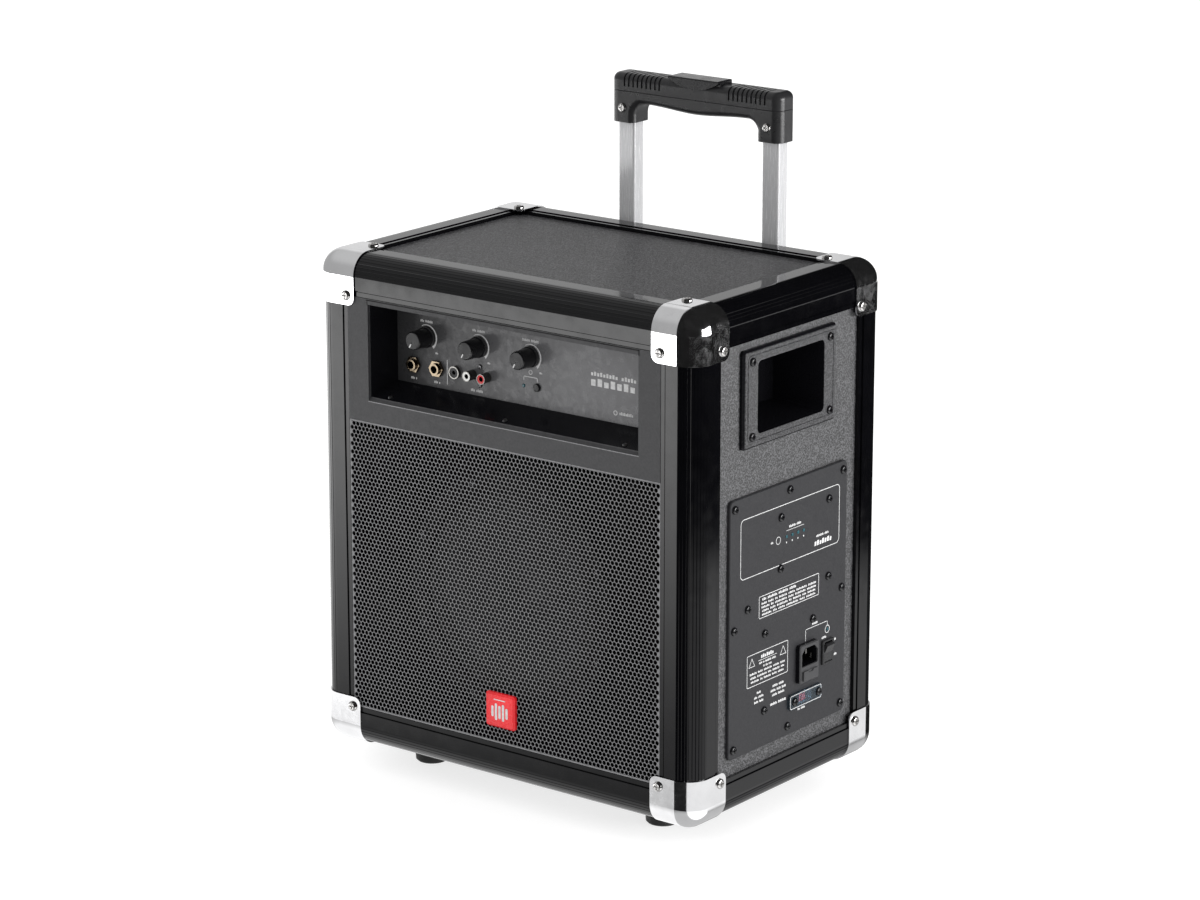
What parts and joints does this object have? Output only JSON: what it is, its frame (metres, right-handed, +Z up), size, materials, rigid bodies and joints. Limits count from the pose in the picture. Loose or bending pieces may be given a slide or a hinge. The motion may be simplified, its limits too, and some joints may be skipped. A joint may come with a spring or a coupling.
{
  "type": "portable party speaker",
  "caption": "Upright boxed speaker with edge mouldings, metal corner caps, perforated grille, recessed controls, side service plate and a telescoping trolley handle.",
  "frame": {"origin": "on the floor, under the middle of the whole part from side to side and from the front to the back of the wheels", "axes": "+X to the right as seen from the front, +Y to the back, +Z up"},
  "size_m": [0.398, 0.326, 0.571],
  "materials": {
    "vinyl": "pebbled dark vinyl over board",
    "moulding": "ribbed gloss moulding",
    "cap_steel": "bright plated sheet",
    "rubber": "moulded rubber",
    "abs_black": "textured",
    "black_screw": "black oxide",
    "panel_grey": "satin",
    "board_green": "circuit board",
    "knob_black": "satin",
    "nickel": "plated",
    "white_plastic": "moulded",
    "red_plastic": "moulded",
    "lamp": "clear lens",
    "grille_steel": "black powder coat, perforated",
    "amp_steel": "black powder coat",
    "inlet_black": "moulded",
    "clear": "clear moulding",
    "battery_case": "moulded",
    "zinc": "plated",
    "basket_steel": "black",
    "magnet": "ferrite and plated plate",
    "paper": "pulp cone",
    "surround_rubber": "moulded roll",
    "tube_alu": "satin anodised",
    "tyre": "soft tyre",
    "hub_plastic": "moulded"
  },
  "bodies": {
    "cabinet": {"amp_board": "board_green", "amp_plate": "amp_steel", "aux_jack": "nickel", "battery_pack": "battery_case", "battery_strap": "zinc", "black_screws": "black_screw", "cap_screws": "cap_steel", "control_bezel": "abs_black", "control_board": "board_green", "control_panel": "panel_grey", "corner_blocks": "moulding", "corner_caps": "cap_steel", "edge_rails": "moulding", "feet": "rubber", "front_baffle": "vinyl", "front_grille": "grille_steel", "grille_badge": "red_plastic", "handle_cup_left": "abs_black", "handle_cup_right": "abs_black", "iec_inlet": "inlet_black", "iec_pins": "nickel", "indicator_lamps": "lamp", "mic_jacks": "nickel", "panel_bottom": "vinyl", "panel_left": "vinyl", "panel_rear": "vinyl", "panel_right": "vinyl", "panel_top": "vinyl", "rca_red": "red_plastic", "rca_white": "white_plastic", "selector_body": "abs_black", "selector_cover": "clear", "small_screws": "black_screw", "socket_rings": "nickel", "switch_frame": "inlet_black", "trolley_base": "abs_black", "trolley_bracket": "abs_black", "trolley_outer": "tube_alu", "wheel_axle": "zinc", "woofer_basket": "basket_steel", "woofer_motor": "magnet", "woofer_surround": "surround_rubber"},
    "pull_handle_stage": {"trolley_middle": "tube_alu"},
    "pull_handle": {"trolley_inner": "tube_alu", "grip_lower": "abs_black", "grip_upper": "abs_black", "grip_screws": "cap_steel"},
    "handle_release": {"release_button": "knob_black"},
    "mic_knob": {"knob_mic": "knob_black"},
    "aux_knob": {"knob_aux": "knob_black"},
    "master_knob": {"knob_master": "knob_black"},
    "pair_key": {"pair_button": "knob_black"},
    "rocker": {"power_rocker": "inlet_black"},
    "voltage_slider": {"selector_slider": "red_plastic"},
    "fuse_carrier": {"fuse_drawer": "inlet_black"},
    "wheel_left": {"wheel_left_tyre": "tyre", "wheel_left_hub": "hub_plastic"},
    "wheel_right": {"wheel_right_tyre": "tyre", "wheel_right_hub": "hub_plastic"},
    "cone": {"woofer_cone": "paper"}
  },
  "joints": [
    {"name": "handle_lower_stage", "type": "slide", "parent": "cabinet", "child": "pull_handle_stage", "axis": [0, 0, 1], "range_m": [0, 0.24]},
    {"name": "handle_upper_stage", "type": "slide", "parent": "pull_handle_stage", "child": "pull_handle", "axis": [0, 0, 1], "range_m": [-0.094, 0.2]},
    {"name": "release_press", "type": "slide", "parent": "pull_handle", "child": "handle_release", "axis": [0, 0, -1], "range_m": [0, 0.0025], "stiffness_N_per_m": 900, "springref_m": -0.001},
    {"name": "mic_turn", "type": "hinge", "parent": "cabinet", "child": "mic_knob", "pos_m": [-0.1028, -0.1382, 0.3776], "axis": [0, 1, 0], "range_deg": [0, 300]},
    {"name": "aux_turn", "type": "hinge", "parent": "cabinet", "child": "aux_knob", "pos_m": [-0.0477, -0.1382, 0.3776], "axis": [0, 1, 0], "range_deg": [0, 300]},
    {"name": "master_turn", "type": "hinge", "parent": "cabinet", "child": "master_knob", "pos_m": [0.0061, -0.1382, 0.3776], "axis": [0, 1, 0], "range_deg": [0, 300]},
    {"name": "pair_press", "type": "slide", "parent": "cabinet", "child": "pair_key", "axis": [0, 1, 0], "range_m": [0, 0.001], "stiffness_N_per_m": 1200, "springref_m": -0.0005},
    {"name": "rocker_turn", "type": "hinge", "parent": "cabinet", "child": "rocker", "pos_m": [0.1928, 0.024, 0.1271], "axis": [0, -1, 0], "range_deg": [0, 24]},
    {"name": "voltage_slide", "type": "slide", "parent": "cabinet", "child": "voltage_slider", "axis": [0, 1, 0], "range_m": [0, 0.004]},
    {"name": "fuse_pull", "type": "slide", "parent": "cabinet", "child": "fuse_carrier", "axis": [1, 0, 0], "range_m": [0, 0.022]},
    {"name": "wheel_left_spin", "type": "hinge", "parent": "cabinet", "child": "wheel_left", "pos_m": [-0.118, 0.132, 0.03], "axis": [1, 0, 0], "continuous": true},
    {"name": "wheel_right_spin", "type": "hinge", "parent": "cabinet", "child": "wheel_right", "pos_m": [0.118, 0.132, 0.03], "axis": [1, 0, 0], "continuous": true},
    {"name": "cone_travel", "type": "slide", "parent": "cabinet", "child": "cone", "axis": [0, -1, 0], "range_m": [-0.003, 0.003], "stiffness_N_per_m": 2000, "deforming": ["woofer_surround"]}
  ]
}
